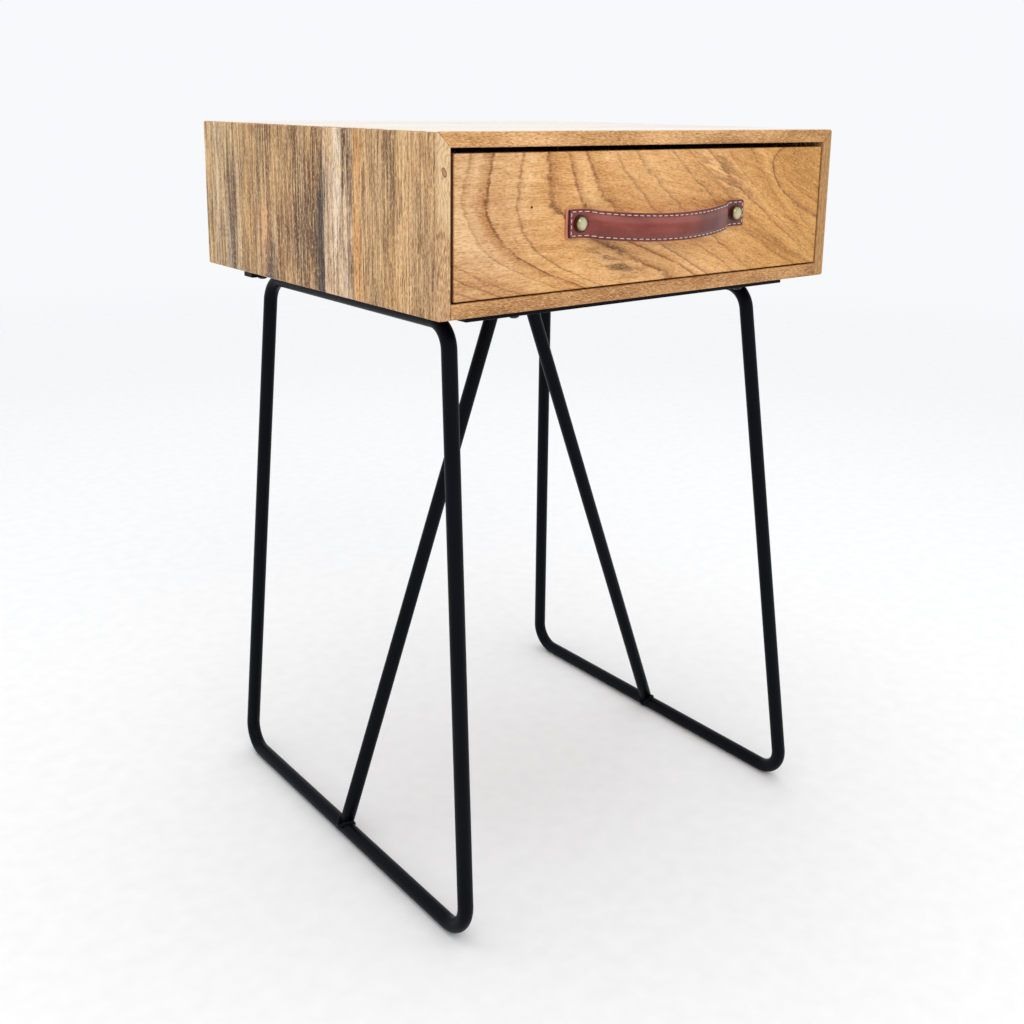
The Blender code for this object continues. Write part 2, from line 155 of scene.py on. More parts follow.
class Finish:
    """One material: a Principled shader whose inputs are fed by fields of the object's place."""

    def __init__(self, name):
        self.material = bpy.data.materials.new(name)
        self.material.use_nodes = True
        self.tree = self.material.node_tree
        self.shader = self.tree.nodes["Principled BSDF"]
        coordinates = self.tree.nodes.new("ShaderNodeTexCoord")
        apart = self.tree.nodes.new("ShaderNodeSeparateXYZ")
        self.tree.links.new(coordinates.outputs["Object"], apart.inputs[0])
        self.x, self.y, self.z = [Field(self.tree, s) for s in apart.outputs]

    def attributes(self, *names):
        """Numbers that the mesh carries at each of its points."""
        fields = []
        for name in names:
            node = self.tree.nodes.new("ShaderNodeAttribute")
            node.attribute_name = name
            fields.append(Field(self.tree, node.outputs["Fac"]))
        return fields

    def zero(self):
        """A field to start a sum from."""
        return self.x * 0.0

    def noise(self, a, b, c, scales, detail, rough, at=0.0):
        """Noise from 0 to 1. scales: per metre, one or three; at: moves the pattern elsewhere."""
        if isinstance(scales, int):
            scales = (scales,) * 3
        node = self.tree.nodes.new("ShaderNodeTexNoise")
        for name, number in (("Scale", 1.0), ("Detail", detail), ("Roughness", rough)):
            node.inputs[name].default_value = number
        self.place_pattern(node, [value * scale + at for value, scale in zip((a, b, c), scales)])
        return Field(self.tree, node.outputs[0])

    def cells(self, a, b, c, scale):
        """Rounded cells: how far each point is from the middle of its own cell."""
        node = self.tree.nodes.new("ShaderNodeTexVoronoi")
        node.feature = "SMOOTH_F1"
        node.inputs["Scale"].default_value = scale
        self.place_pattern(node, (a, b, c))
        return Field(self.tree, node.outputs["Distance"])

    def place_pattern(self, node, values):
        """Feeds a pattern's Vector input with three fields."""
        join = self.tree.nodes.new("ShaderNodeCombineXYZ")
        for target, value in zip(join.inputs, values):
            plug(self.tree, target, value)
        self.tree.links.new(join.outputs[0], node.inputs["Vector"])

    def set(self, **inputs):
        """Sets the shader's inputs; an underscore stands for a space in an input's name."""
        for name, value in inputs.items():
            plug(self.tree, self.shader.inputs[name.replace("_", " ")], value)

    def bump(self, height, distance, strength):
        """Lets a height field, at most distance metres deep, tilt the surface."""
        node = self.tree.nodes.new("ShaderNodeBump")
        node.inputs["Strength"].default_value = strength
        node.inputs["Distance"].default_value = distance
        plug(self.tree, node.inputs["Height"], height)
        self.tree.links.new(node.outputs["Normal"], self.shader.inputs["Normal"])


# ---- wood
def grain(f, where, at):
    """The small marks all this wood has: fibres, short flecks and open pores, 0 to 1."""
    fibre = f.noise(*where, (20, 360, 360), 4.0, 0.62, at)
    fleck = f.noise(*where, (300, 980, 980), 2.0, 0.7, at + 5)
    pore = f.noise(*where, (120, 1300, 1300), 1.0, 0.5, at + 9).rise(0.58, 0.7)
    return fibre, fleck, pore


def finish_wood(f, color, marks, lines=None, gloss=0.0):
    """A sanded, lightly oiled surface: satin, duller and lower in its pores and ring lines."""
    fibre, fleck, pore = marks
    height = fibre * 0.5 + fleck * 0.5 - pore * 0.9
    if lines is not None:
        height = height - lines * 0.6
    f.set(Base_Color=color, Roughness=fleck * 0.16 + pore * 0.25 + (0.46 - gloss),
          Specular_IOR_Level=0.28)
    f.bump(height, 0.00022, 0.55)
    return f.material


def speckle(color, fleck, pore, amount):
    """Flecks and pores drawn over a colour."""
    color = blend(fleck.rise(0.52, 0.68) * (0.52 * amount), color, (250, 214, 164))
    color = blend(fleck.rise(0.48, 0.32) * (0.56 * amount), color, (104, 64, 34))
    return blend(pore * (0.5 * amount), color, (84, 50, 26))


def dashes(f, color, where, at, amount):
    """Longer dark and pale strokes along the grain."""
    stroke = f.noise(*where, (22, 500, 500), 4.0, 0.62, at)
    color = blend(stroke.rise(0.52, 0.61) * (0.64 * amount), color, (84, 54, 31))
    return blend(stroke.rise(0.48, 0.38) * (0.56 * amount), color, (246, 210, 158))


def toned(tone, tones):
    """The colour of a stick of wood. tones: its dark, middle and light colours."""
    return tone.ramp(*zip((0.28, 0.5, 0.72), tones))


TAN = ((138, 95, 51), (206, 159, 103), (247, 206, 148))
OLIVE = ((94, 68, 40), (184, 146, 96), (238, 205, 155))
BROWN = ((76, 49, 30), (145, 101, 61), (212, 165, 109))
ROSE = ((180, 144, 114), (226, 192, 158), (248, 226, 198))
HONEY = ((172, 118, 64), (211, 157, 99), (240, 191, 134))
AMBER = ((146, 94, 46), (186, 134, 80), (222, 172, 114))
DEEP = ((134, 82, 40), (174, 122, 72), (210, 160, 105))
PALE = ((212, 184, 144), (234, 212, 180), (246, 232, 210))


def staves(f, along, across, depth, edges, sticks, at):
    """Sticks glued edge to edge: their colour, the grain's marks and the place moved for each."""
    index = f.zero()
    for edge in edges:
        index = index + across.past(edge)
    where = (along + index * 0.731, across, depth + index * 0.217)
    marks = grain(f, where, at)
    broad = f.noise(*where, (4, 40, 40), 2.0, 0.55, at + 2)
    streak = f.noise(*where, (7, 170, 170), 3.0, 0.62, at + 3)
    tone = broad * 0.5 + streak * 0.75 + marks[0] * 0.7 - 0.475
    color = toned(tone, sticks[0])
    for edge, stick in zip(edges, sticks[1:]):
        color = blend(across.past(edge), color, toned(tone, stick))
    for edge in edges:
        color = blend(across.band(edge, 0.00005, 0.00035) * 0.45, color, (96, 66, 44))
    return color, marks, where


# Streaks on a side: how far from its back edge, half the width, how soft its edges are, all in
# millimetres; where it starts and ends as shares of the height; how strong it is; its colour.
LEFT_STREAKS = (
    (21.5, 2.5, 3.75, 0, 1, 0.6, 232, 206, 174),
    (11, 1.5, 3, 0, 0.7, 0.5, 150, 118, 90),
    (33, 2, 3, 0.2, 1, 0.5, 226, 196, 158),
    (50, 7.5, 6, 0, 0.68, 0.8, 104, 88, 72),
    (43, 2, 3, 0, 0.45, 0.7, 218, 204, 182),
    (61, 1.6, 2.25, 0, 0.85, 0.55, 206, 184, 154),
    (74, 3, 3.75, 0, 1, 0.55, 156, 122, 88),
    (86, 8, 6, 0.1, 1, 0.8, 212, 164, 108),
    (108, 3.4, 3, 0, 0.62, 0.85, 240, 180, 128),
    (102, 1.4, 2.25, 0, 1, 0.45, 150, 110, 78),
    (116.5, 7, 4.5, 0, 0.18, 0.9, 96, 78, 72),
    (125, 1.8, 2.25, 0, 0.5, 0.5, 196, 170, 146),
    (140, 12, 9, 0.55, 1, 0.6, 204, 160, 108),
    (160, 2, 3, 0, 0.6, 0.45, 112, 84, 68),
    (148, 15, 10.5, 0, 0.45, 0.35, 116, 82, 56),
    (177, 14, 9, 0.12, 0.68, 0.84, 96, 64, 42),
    (172, 1.6, 2.25, 0.3, 1, 0.45, 224, 188, 144),
    (200, 5.6, 3, 0, 0.62, 1, 40, 36, 38),
    (225.5, 3.4, 3.75, 0.36, 1, 0.9, 250, 230, 204),
    (212, 3, 3.75, 0.3, 1, 0.55, 232, 204, 174),
    (238.5, 4.4, 2.25, 0.74, 1, 0.95, 92, 70, 56),
    (242.5, 1.2, 1.5, 0.45, 0.8, 0.5, 150, 122, 100),
    (245, 0.6, 0.9, 0, 1, 0.55, 140, 104, 84),
    (233, 3, 4.5, 0.02, 0.26, 0.15, 160, 134, 114),
    (252.5, 4, 1.5, 0, 1, 0.88, 226, 164, 100),
    (262, 1.2, 2.25, 0, 0.8, 0.55, 146, 106, 72),
    (270, 1.2, 2.25, 0, 0.9, 0.5, 138, 100, 68),
    (292, 9, 7.5, 0.6, 0.88, 0.62, 136, 98, 64),
    (278, 6, 6, 0, 1, 0.45, 212, 172, 126),
    (314, 8, 7.5, 0.3, 0.7, 0.65, 226, 178, 126),
    (335, 12, 9, 0.1, 1, 0.6, 218, 174, 126),
)
LEFT_DARK_STREAK = ((200.3, 4, 3, 0, 0.6, 0.55, 58, 52, 52),)
RIGHT_STREAKS = (
    (40, 4, 4.5, 0, 0.7, 0.65, 136, 104, 76),
    (90, 3, 3.75, 0.2, 1, 0.6, 232, 186, 134),
    (132, 5, 6, 0.3, 1, 0.6, 138, 98, 64),
    (162, 3, 3.75, 0, 1, 0.6, 224, 200, 166),
    (205, 6, 5.25, 0, 0.5, 0.65, 110, 88, 70),
    (260, 3, 3.75, 0, 1, 0.6, 240, 196, 146),
    (320, 5, 6, 0.4, 1, 0.5, 150, 108, 72),
)

# Eyes in the left side's figure: metres from the back edge, share of the height, the metres that
# stand for the whole height (so that an eye is tall), and its radius.
LEFT_EYES = ((0.353, 0.86, 0.075, 0.036), (0.084, 0.4, 0.07, 0.017))


def draw_streaks(color, place, height, fibre, streaks):
    """Streaks of other colours over a side, broken up by the fibres."""
    for centre, half, soft, low, high, amount, *shade in streaks:
        mask = place.band(centre * MM, half * MM, soft * MM) * (fibre * 0.8 + 0.7)
        if low > 0:
            mask = mask * height.rise(low - 0.12, low + 0.12)
        if high < 1:
            mask = mask * height.rise(high + 0.12, high - 0.12)
        color = blend(mask * amount, color, tuple(shade))
    return color


def draw_eyes(color, back, up, feather, eyes):
    """Pale eyes ringed by darker arcs."""
    for eye_back, eye_up, squash, radius in eyes:
        off, lift = back - eye_back, (up - eye_up) * squash
        eye = (off * off + lift * lift).power(0.5) + feather * 0.004
        color = blend(eye.rise(radius, radius * 0.5) * 0.4, color, (216, 166, 106))
        arcs = (eye * 1500 + feather * 7).sine().rise(0.1, 1.0) * eye.rise(radius, radius * 0.3)
        color = blend(arcs * 0.42, color, (136, 92, 54))
    return color


def side_wood(name, edges, sticks, at, streaks, eyes=(), late_streaks=()):
    """An upright side but for its front edge: upright staves, streaks and eyes."""
    f = Finish(name)
    back = CASE_BACK - f.y
    color, marks, moved = staves(f, f.z, back, f.x, edges, sticks, at)
    fibre, fleck, pore = marks
    up = (f.z - CASE_UNDER) / (CASE_TOP - CASE_UNDER)
    feather = f.noise(f.z, back, f.x, (9, 260, 260), 3.0, 0.62, at + 4) - 0.5
    drift = f.noise(f.z, back, f.x, (16, 30, 30), 1.0, 0.5, at + 6) - 0.5
    place = back + feather * 0.013 + drift * 0.009
    height = up + feather * 1.5 + drift * 0.3
    color = draw_streaks(color, place, height, fibre, streaks)
    flow = back + (0.6 - up) * (0.6 - up) * back.rise(0.26, 0.36) * 0.03
    waves = (flow * 560 + f.noise(f.z, back, f.x, (22, 60, 60), 1.0, 0.5, at + 7) * 16).sine()
    color = blend(waves.rise(0.2, 1.0) * 0.22, color, (112, 76, 46))
    color = draw_eyes(color, back, up, feather, eyes)
    cloud = f.noise(*moved, (11, 50, 50), 3.0, 0.62, at + 17)
    color = blend(cloud.rise(0.49, 0.36) * 0.5, color, (108, 74, 46))
    color = blend(cloud.rise(0.54, 0.68) * 0.45, color, (228, 180, 120))
    color = dashes(f, color, moved, at + 11, 0.95)
    color = speckle(color, fleck, pore, 1.1)
    return f, draw_streaks(color, place, height, fibre, late_streaks), marks


def left_side_wood():
    f, color, marks = side_wood("left_side_wood", (0.1138, 0.205, 0.2463),
                                (OLIVE, BROWN, ROSE, TAN), 0.0, LEFT_STREAKS,
                                LEFT_EYES, LEFT_DARK_STREAK)
    color = blend(front_edge(f), color, knotted_edge(f))
    return finish_wood(f, color, marks)


def right_side_wood():
    f, color, marks = side_wood("right_side_wood", (0.062, 0.148, 0.226, 0.301),
                                (TAN, AMBER, OLIVE, HONEY, TAN), 31.0, RIGHT_STREAKS)
    bend = edge_bend(f)
    rings = (f.x * 1500 + bend * 9).sine().rise(0.2, 1.0)
    edge = blend(rings * 0.5, (178, 132, 80), (134, 90, 46))
    fleck = edge_fleck(f, 21.0)
    edge = speckle(edge, fleck, fleck.rise(0.7, 0.8), 0.55)
    return finish_wood(f, blend(front_edge(f), color, edge), marks)


def front_edge(f):
    """1 on a board's front edge and its rounding, 0 further back."""
    return f.y.rise(CASE_FRONT + 0.0032, CASE_FRONT + 0.0012)


def edge_bend(f):
    """How the lines on a side's front edge wander."""
    return f.noise(f.z, f.x, f.y, (30, 90, 0), 1.0, 0.5, 3.0)


def edge_fleck(f, at):
    """Fine flecks on a side's front edge."""
    return f.noise(f.z, f.x, f.y, (190, 1300, 1300), 2.0, 0.6, at)


def knotted_edge(f):
    """The left side's front edge: pale above, browner below, with a pin knot near the top."""
    knot_x, knot_z = CASE_LEFT + 0.0042, CASE_TOP - 0.026
    lift = f.z - knot_z
    across = f.x - knot_x + lift * 0.28
    reach = (across * across * 3.2 + lift * lift).power(0.5)
    pull = reach.rise(0.022, 0.0)
    lines = ((f.x + reach * 0.9 * pull) * 2300 + edge_bend(f) * 10).sine().rise(0.1, 1.0)
    pale = blend(lines * 0.55, (224, 190, 146), (186, 142, 98))
    fleck = edge_fleck(f, 17.0)
    lower = blend(fleck.rise(0.3, 0.7), (164, 122, 80), (216, 176, 132))
    slanted = f.z + (f.x - CASE_LEFT) * 1.6
    edge = blend(slanted.rise(CASE_TOP - 0.046, CASE_TOP - 0.062), pale, lower)
    edge = speckle(edge, fleck, fleck.rise(0.72, 0.8), 0.7)
    edge = blend(reach.rise(0.0034, 0.002) * 0.75, edge, (156, 104, 64))
    return blend(reach.band(0.0028, 0.0002, 0.0007) * 0.8, edge, (112, 68, 40))


def horizontal_edge(f, face, pore, tone_shift, at):
    """A level board's front edge: the face's tones at its left end, amber at its right."""
    tilt = f.x + f.z * 2.2
    small = f.noise(tilt, f.z, f.y, (420, 1150, 200), 2.0, 0.65, at + 13)
    drift = f.noise(f.x, f.z, f.y, (16, 60, 10), 2.0, 0.5, at + 15)
    tone = drift * 0.7 + small * 0.35
    edge = blend(f.x.rise(CASE_LEFT + 0.05, CASE_RIGHT - 0.05), toned(tone, face),
                 toned(tone + tone_shift, AMBER))
    return speckle(edge, small, pore, 0.8)


def flat_wood(name, edges, sticks, at, face=None, tone_shift=0.0, lacquered=False):
    """A level board with grain from side to side. face: the tones of its front edge, if seen."""
    f = Finish(name)
    back = CASE_BACK - f.y
    color, marks, _ = staves(f, f.x, back, f.z, edges, sticks, at)
    fleck, pore = marks[1:]
    arcs = (back * 430 + f.noise(f.x, back, f.z, (7, 30, 30), 1.0, 0.5, at + 7) * 22).sine()
    lines = arcs.rise(0.55, 1.0)
    color = blend(lines * 0.28, color, (150, 108, 70))
    color = speckle(color, fleck, pore, 0.8)
    if face:
        color = blend(front_edge(f), color, horizontal_edge(f, face, pore, tone_shift, at))
    if lacquered:
        f.set(Coat_Weight=(f.z - CASE_TOP).rise(-0.0008, -0.0002), Coat_Roughness=fleck * 0.1 + 0.08)
    return finish_wood(f, color, marks, lines)


def upright_panel(name, at, stick, along_y=False):
    """A plain panel or drawer board: grain runs along its length."""
    f = Finish(name)
    where = (f.y, f.z, f.x) if along_y else (f.x, f.z, f.y)
    marks = grain(f, where, at)
    fibre, fleck, pore = marks
    broad = f.noise(*where, (4, 40, 40), 2.0, 0.55, at + 2)
    arcs = (f.z * 520 + f.noise(*where, (6, 34, 34), 1.0, 0.5, at + 7) * 24).sine()
    lines = arcs.rise(0.55, 1.0)
    color = toned(broad * 0.6 + fibre * 0.55 - 0.08, stick)
    color = blend(lines * 0.3, color, (156, 112, 72))
    color = speckle(color, fleck, pore, 0.7)
    return finish_wood(f, color, marks, lines)


# Growth rings of the drawer front: how far from the board's left end each meets the top edge, how
# dark it is, and how far its shade runs to the right (negative: to the left), in millimetres.
RINGS = ((-66, 0.6, 7), (-44, 0.7, 10), (-25, 0.5, -5), (12, 0.4, 8), (32, 1, -12),
         (58, 0.6, 5), (79, 0.9, 12), (98.5, 0.85, 8), (114, 0.7, 12), (143, 0.42, 6),
         (164, 0.42, 8), (199, 0.48, 10), (218, 0.26, 7), (240, 0.62, 14), (262, 0.3, 6),
         (290, 0.4, 9), (308, 0.28, 9))

# Lines of the loop at the board's right end: millimetres outside it, and how dark it is.
LOOP_LINES = ((0, 0.85), (12.5, 0.35), (26, 0.3), (39, 0.25))


def ring_place(right, share):
    """Where the growth ring through a point meets the board's top edge."""
    start = right
    for _ in range(3):
        turn = start.rise(0.02, 0.22)
        late = start.rise(0.25, 0.3)
        slope = turn * 0.15 - late * 0.05 - 0.023
        curl = 0.108 - turn * 0.078
        dip = start.rise(0.03, 0.064) * start.rise(0.098, 0.064) * share * 0.019
        start = right - (share * slope + share.power(3.2) * curl - dip)
    return start


def right_loop(right, down):
    """How far a point is outside the loop whose tip points left from the board's right end."""
    below = down - 0.012
    bend = below.past(0.0) * -56.0 + 83.0
    steepness = below * bend * 2.0
    return (right - 0.3195 - below * below * bend) / (steepness * steepness + 1.0).power(0.5)


def smudge(right, share, place, height, lean, soft, half_height, fade):
    """A leaning smudge at a place from the left end and a share of the way down."""
    across = right - place - (share - height) * lean
    return across.band(0.0, 0.006, soft) * share.band(height, half_height, fade)


def gap_shaded_edges(f, color, down, fibre):
    """The board's ends, with their end grain, and its top edge, darker than its face: the ends darker
    as end grain and as painted shade, the top edge as painted shade, both inside the gaps round the
    drawer.
    """
    inward = f.y.rise(front_low.y + 0.0006, front_low.y + 0.0016)
    ends = (f.x - front_low.x).least(front_high.x - f.x).rise(0.0009, 0.0003)
    growth = (((f.y + 0.02) * (f.y + 0.02) * 6.0 + f.z * f.z * 0.2).power(0.5) * 2600).sine()
    stipple = f.noise(f.x, f.y, f.z, (100, 1900, 1900), 2.0, 0.65, 19.0)
    # End grain, made darker still as painted shade in the gaps beside the case.
    end_grain_in_shade = blend(growth.rise(-0.2, 1.0) * 0.8, (88, 55, 32), (58, 34, 20))
    end_grain_in_shade = blend(stipple.rise(0.5, 0.66) * 0.6, end_grain_in_shade, (122, 82, 50))
    color = blend(ends * inward * 0.88, color, end_grain_in_shade)
    # Painted shade on the top edge, in the gap under the case top.
    top = down.rise(0.0008, 0.0003) * inward
    return blend(top * (fibre * 0.5 + 0.35), color, (92, 58, 32))


def drawer_front_wood():
    """One plain-sawn board whose rings drop from the top edge and sweep off to the right."""
    f = Finish("drawer_front_wood")
    right = f.x - front_low.x
    down = front_high.z - f.z
    share = down / (front_high.z - front_low.z)
    wobble = f.noise(f.x, f.z, f.y, (30, 48, 20), 3.0, 0.55, 2.0) - 0.5
    ripple = f.noise(f.x, f.z, f.y, (150, 190, 60), 3.0, 0.65, 6.0) - 0.5
    ring = ring_place(right, share.most(0.0)) + wobble * 0.013 + ripple * 0.0055
    loop = right_loop(right, down) + wobble * 0.008 + ripple * 0.0035
    inside = loop.rise(-0.001, 0.001)
    patchy = f.noise(f.x, f.z, f.y, (60, 150, 40), 2.0, 0.6, 15.0)
    line, shade = f.zero(), f.zero()
    for place, strength, spread in RINGS:
        away = ring - place * MM
        line = line.most(away.size().rise(0.0024, 0.0001) * strength)
        side = away / (spread * MM)
        shade = shade.most(side.rise(-0.14, 0.05) * side.rise(1.0, 0.0) * strength)
    line = line * (1.0 - inside)
    for place, strength in LOOP_LINES:
        away = loop - place * MM
        line = line.most(away.size().rise(0.0018, 0.0002) * strength)
        side = away / (7 * MM)
        shade = shade.most(side.rise(-0.1, 0.04) * side.rise(1.0, 0.0) * strength * 0.9)
    fall = (right - 0.06).most(0.0)
    level = f.z + fall * fall * 0.75 + wobble * 0.004
    where = (f.x, level, f.y)
    marks = grain(f, where, 3.0)
    fibre, fleck, pore = marks
    broad = f.noise(ring, level, f.y, (34, 14, 14), 2.0, 0.5, 8.0)
    curl = f.noise(*where, (46, 210, 60), 3.0, 0.62, 12.0)
    tone = broad * 0.6 + curl * 0.35 + fibre * 0.35 - 0.13
    pale = toned(tone, ((172, 118, 69), (206, 154, 101), (236, 192, 140)))
    warm = toned(tone, ((174, 116, 55), (218, 160, 95), (245, 194, 132)))
    gold = toned(tone, ((156, 98, 34), (198, 140, 66), (228, 172, 96)))
    color = blend(right.rise(0.1, 0.02), warm, pale)
    color = blend(right.rise(0.24, 0.33) * 0.85, color, gold)
    color = blend(shade * (patchy * 0.9 + 0.2), color, (168, 106, 50))
    color = blend(line * (patchy.rise(0.3, 0.6) * 0.52 + 0.34), color, (122, 68, 28))
    low_spot = smudge(right, share, 0.146, 0.8, 0.1, 0.02, 0.06, 0.14)
    color = blend(low_spot * curl.rise(0.58, 0.4) * 0.85, color, (104, 68, 38))
    color = blend(low_spot * 0.25, color, (150, 106, 62))
    high_spot = smudge(right, share, 0.262, 0.2, 0.12, 0.018, 0.09, 0.16)
    color = blend(high_spot * curl.rise(0.58, 0.42) * 0.6, color, (140, 92, 54))
    color = dashes(f, color, where, 37.0, 0.12)
    color = speckle(color, fleck, pore, 0.66)
    pin_x, pin_z = front_low.x + 0.0655, front_high.z - 0.0372
    pin = ((f.x - pin_x) * (f.x - pin_x) + (f.z - pin_z) * (f.z - pin_z) * 1.6).power(0.5)
    color = blend(pin.rise(0.007, 0.001) * 0.35, color, (188, 130, 78))
    color = blend(pin.rise(0.0014, 0.0007), color, (58, 28, 16))
    color = gap_shaded_edges(f, color, down, fibre)
    return finish_wood(f, color, marks, line, 0.03)


# ---- leather, metal
def leather_finish():
    """Dark red leather: creased and worn paler in places, with painted shade round its stitches and
    rivets, painted shade on the bow's lower half and at its right-hand bends, and a painted highlight
    and sheen.
    """
    f = Finish("strap_leather")
    where = along, across, rim = f.attributes("along", "across", "rim")
    pebble = f.cells(along, across, rim * 0.004, 1500)
    crease = f.noise(*where, (420, 1500, 1), 4.0, 0.65, 3.0)
    cloud = f.noise(*where, (26, 60, 1), 3.0, 0.55, 7.0)
    color = (cloud * 0.75 + crease * 0.25).ramp(
        (0.3, (96, 36, 29)), (0.5, (126, 54, 44)), (0.7, (150, 74, 61)))
    worn = crease.rise(0.55, 0.72) * cloud.rise(0.42, 0.6)
    color = blend(worn * 0.3, color, (178, 108, 96))
    from_stud = along.size() - stud_x
    from_stud = (from_stud * from_stud + across * across).power(0.5)
    # Painted shade in the dimple round each rivet.
    color = blend(from_stud.band(stud_r + 0.0004, 0.0003, 0.001) * 0.75, color, (44, 16, 16))
    bowed = along.size().rise(stud_x - 0.004, stud_x - 0.012)
    # Painted shade on the lower half of the bowed part, and a painted highlight along its upper part.
    color = blend(across.rise(0.0002, -0.008) * bowed * 0.42, color, (88, 36, 31))
    upper_highlight = across.band(0.005, 0.0006, 0.003) * bowed * (cloud * 0.9 + 0.05)
    color = blend(upper_highlight, color, (162, 95, 84))
    # Painted shade along the sunken stitch rows.
    row = (across.size() - (leather_half.z - STITCH_INSET)).size()
    color = blend(row.rise(0.0011, 0.0005) * 0.55, color, (60, 20, 18))
    # Painted shade at the bends on the strap's right, painted shade over its right end, and a painted
    # sheen between them.
    bend_shade = along.band(0.029, 0.0, 0.016) * 0.42 + along.band(0.0755, 0.0008, 0.005) * 0.45
    color = blend(bend_shade * (crease * 0.8 + 0.6), color, (62, 24, 21))
    color = blend(along.rise(0.022, 0.048) * 0.52, color, (60, 24, 23))
    sheen = along.band(0.057, 0.002, 0.01) * (cloud * 0.5 + 0.02)
    color = blend(sheen, color, (140, 88, 86))
    color = blend(rim.rise(0.05, 0.5), color, (42, 14, 16))
    f.set(Base_Color=color, Roughness=crease * 0.2 + rim * 0.08 + 0.26, Specular_IOR_Level=0.3,
          Coat_Weight=0.12, Coat_Roughness=0.22)
    f.bump(pebble * 0.7 + crease * 0.5, 0.00012, 0.5)
    return f.material


def lining_finish():
    f = Finish("lining_leather")
    where = f.attributes("along", "across", "rim")
    nap = f.noise(*where, (2300, 2300, 300), 3.0, 0.7, 2.0)
    cloud = f.noise(*where, (60, 90, 1), 2.0, 0.5, 5.0)
    color = (cloud * 0.6 + nap * 0.4).ramp((0.3, (176, 98, 78)), (0.7, (222, 146, 122)))
    f.set(Base_Color=color, Roughness=nap * 0.15 + 0.72, Specular_IOR_Level=0.25)
    f.bump(nap, 0.00025, 0.6)
    return f.material


def thread_finish():
    f = Finish("stitch_thread")
    lay = f.noise(f.x, f.z, f.y, 2600, 2.0, 0.6, 4.0)
    color = lay.ramp((0.3, (192, 158, 148)), (0.7, (236, 214, 202)))
    f.set(Base_Color=color, Roughness=lay * 0.2 + 0.55, Sheen_Weight=0.25)
    f.bump(lay, 0.0001, 0.4)
    return f.material


def brass_finish():
    """Antique brass: darker towards the rim of each dome, as tarnish and as painted shade, and
    brighter on top, as wear and as a painted highlight.
    """
    f = Finish("antique_brass")
    tarnish = f.noise(f.x, f.z, f.y, 420, 3.0, 0.6, 1.0)
    fine = f.noise(f.x, f.z, f.y, 2400, 2.0, 0.6, 2.0)
    [proud] = f.attributes("proud")
    # Dark at the rim and bright on top: tarnish and wear, and also painted shade and a painted
    # highlight on the dome.
    color = (tarnish * 0.3 + proud * 0.7).ramp(
        (0.25, (74, 66, 44)), (0.55, (140, 132, 94)), (0.85, (206, 200, 162)))
    f.set(Base_Color=color, Roughness=fine * 0.16 + tarnish * 0.14 + 0.12, Metallic=0.92)
    f.bump(tarnish * 0.6 + fine * 0.4, 0.0001, 0.5)
    return f.material


def powder_coat():
    """Matte black powder coat with a fine orange-peel texture and dust in it."""
    f = Finish("black_powder_coat")
    peel = f.noise(f.x, f.y, f.z, 900, 2.0, 0.55, 1.0)
    grit = f.noise(f.x, f.y, f.z, 4200, 1.0, 0.5, 3.0)
    cloud = f.noise(f.x, f.y, f.z, 14, 3.0, 0.6, 5.0)
    color = (cloud * 0.6 + grit * 0.4).ramp((0.32, (2, 3, 8)), (0.72, (10, 12, 20)))
    f.set(Base_Color=color, Roughness=cloud * 0.14 + peel * 0.16 + 0.24, Specular_IOR_Level=0.07)
    f.bump(peel * 0.7 + grit * 0.3, 0.00016, 0.5)
    return f.material


def screw_finish(name, dark):
    """Plated screws: dull, with faint mottled wear."""
    f = Finish(name)
    wear = f.noise(f.x, f.y, f.z, 700, 3.0, 0.6, 2.0)
    fine = f.noise(f.x, f.y, f.z, 3600, 2.0, 0.6, 6.0)
    if dark:
        color = wear.ramp((0.35, (20, 21, 23)), (0.72, (64, 64, 66)))
    else:
        color = wear.ramp((0.3, (128, 130, 132)), (0.7, (196, 198, 200)))
    f.set(Base_Color=color, Roughness=fine * 0.2 + wear * 0.15 + 0.24, Metallic=0.9)
    f.bump(fine, 0.00006, 0.4)
    return f.material


def dress(node, material):
    """Gives a CAD node a new material in each of its slots."""
    obj = nodes[node]
    for place in obj.material_slots:
        place.material = material


# The top's staves are paler than the sides': partly the wood's own colour, partly a painted highlight
# over the whole top.
dress("case_top", flat_wood("case_top_wood", (0.071, 0.139, 0.214, 0.287),
                            (PALE, ROSE, PALE, ROSE, PALE), 50.0, HONEY, 0.03, lacquered=True))
dress("case_bottom", flat_wood("case_bottom_wood", (0.082, 0.171, 0.262),
                               (TAN, AMBER, TAN, AMBER), 70.0, DEEP, -0.06))
dress("case_left_side", left_side_wood())
dress("case_right_side", right_side_wood())
dress("case_back", upright_panel("case_back_wood", 90.0, TAN))
dress("drawer_front", drawer_front_wood())
dress("drawer_left_side", upright_panel("drawer_left_wood", 101.0, PALE, along_y=True))
dress("drawer_right_side", upright_panel("drawer_right_wood", 113.0, PALE, along_y=True))
dress("drawer_back", upright_panel("drawer_back_wood", 127.0, PALE))
dress("drawer_bottom", flat_wood("drawer_bottom_wood", (0.13, 0.25), (PALE, ROSE, PALE), 140.0))
COAT = powder_coat()
for bar in ("front_crossbar", "rear_crossbar", "centre_crossbar", "left_side_bar", "right_side_bar"):
    dress(bar, COAT)
BLACK_SCREW, ZINC_SCREW = screw_finish("black_screw", True), screw_finish("zinc_screw", False)
for corner in ("front_left", "front_right", "rear_left", "rear_right"):
    dress("base_screw_" + corner, BLACK_SCREW)
for side in ("left", "right"):
    dress("handle_screw_" + side, ZINC_SCREW)


